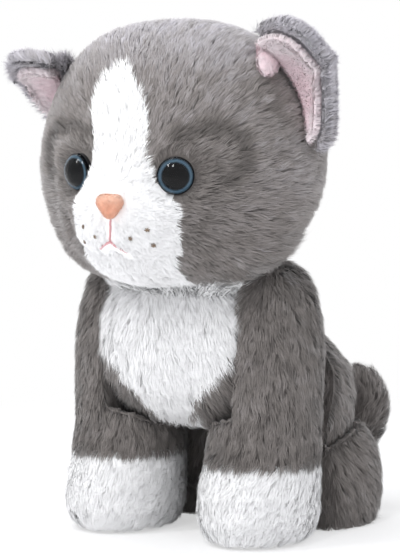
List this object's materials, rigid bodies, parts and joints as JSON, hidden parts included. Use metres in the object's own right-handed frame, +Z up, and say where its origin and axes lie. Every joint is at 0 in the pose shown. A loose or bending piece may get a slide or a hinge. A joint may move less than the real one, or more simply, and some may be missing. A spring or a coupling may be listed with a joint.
{
  "type": "plush cat",
  "caption": "Sitting stuffed kitten in long grey and white fur fabric, with plastic eyes, cupped ears and sewn limbs that flex at their seams.",
  "frame": {"origin": "centre of the flat seat under the rump, on the surface the kitten sits on", "axes": "+Z up, -Y the way the kitten faces, +X towards the kitten's left side"},
  "size_m": [0.1559, 0.1835, 0.213],
  "materials": {
    "grey_fur": "long soft pile",
    "white_fur": "long soft pile",
    "pink_plush": "short pile",
    "seat_fabric": "short pile",
    "stuffing": "loose polyester fibre",
    "pellet_cloth": "plain woven cotton",
    "clear_dome": "clear, polished",
    "iris": "gloss",
    "pupil": "gloss",
    "eye_plastic": "gloss",
    "washer_plastic": "matt",
    "nose_flock": "flocked"
  },
  "bodies": {
    "torso": {"body_cover": "grey_fur", "bib_panel": "white_fur", "seat_panel": "seat_fabric", "body_stuffing": "stuffing", "pellet_bag": "pellet_cloth", "left_haunch_cover": "grey_fur", "left_haunch_stuffing": "stuffing", "right_haunch_cover": "grey_fur", "right_haunch_stuffing": "stuffing"},
    "neck": {"neck_cover": "grey_fur", "neck_stuffing": "stuffing"},
    "head": {"head_cover": "grey_fur", "face_panel": "white_fur", "chin_panel": "white_fur", "head_stuffing": "stuffing", "left_eye_dome": "clear_dome", "left_eye_iris": "iris", "left_eye_pupil": "pupil", "left_eye_shank": "eye_plastic", "left_eye_washer": "washer_plastic", "right_eye_dome": "clear_dome", "right_eye_iris": "iris", "right_eye_pupil": "pupil", "right_eye_shank": "eye_plastic", "right_eye_washer": "washer_plastic", "nose": "nose_flock", "nose_washer": "washer_plastic"},
    "left_ear": {"left_ear_back": "grey_fur", "left_ear_lining": "pink_plush"},
    "right_ear": {"right_ear_back": "grey_fur", "right_ear_lining": "pink_plush"},
    "left_leg": {"left_leg_cover": "grey_fur", "left_paw_cover": "white_fur", "left_leg_stuffing": "stuffing"},
    "right_leg": {"right_leg_cover": "grey_fur", "right_paw_cover": "white_fur", "right_leg_stuffing": "stuffing"},
    "tail": {"tail_cover": "grey_fur", "tail_stuffing": "stuffing"}
  },
  "joints": [
    {"name": "head_turn", "type": "hinge", "parent": "torso", "child": "neck", "pos_m": [0, -0.054, 0.119], "axis": [0, 0, 1], "range_deg": [-20, 20], "stiffness_Nm_per_rad": 0.25},
    {"name": "head_nod", "type": "hinge", "parent": "neck", "child": "head", "pos_m": [0, -0.054, 0.119], "axis": [-1, 0, 0], "range_deg": [-4, 12], "stiffness_Nm_per_rad": 1},
    {"name": "left_ear_fold", "type": "hinge", "parent": "head", "child": "left_ear", "pos_m": [0.05264, -0.05477, 0.18682], "axis": [0.4983, 0.1333, -0.8567], "range_deg": [-20, 15], "stiffness_Nm_per_rad": 0.02},
    {"name": "right_ear_fold", "type": "hinge", "parent": "head", "child": "right_ear", "pos_m": [-0.05164, -0.06388, 0.18767], "axis": [0.3992, -0.7518, 0.5248], "range_deg": [-20, 15], "stiffness_Nm_per_rad": 0.02},
    {"name": "left_leg_swing", "type": "hinge", "parent": "torso", "child": "left_leg", "pos_m": [0.033, -0.046, 0.086], "axis": [-1, 0, 0], "range_deg": [0, 25], "stiffness_Nm_per_rad": 0.3},
    {"name": "right_leg_swing", "type": "hinge", "parent": "torso", "child": "right_leg", "pos_m": [-0.033, -0.046, 0.086], "axis": [-1, 0, 0], "range_deg": [0, 25], "stiffness_Nm_per_rad": 0.3},
    {"name": "tail_swing", "type": "hinge", "parent": "torso", "child": "tail", "pos_m": [0, 0.028, 0.024], "axis": [0, 0, 1], "range_deg": [-4, 25], "stiffness_Nm_per_rad": 0.05}
  ]
}
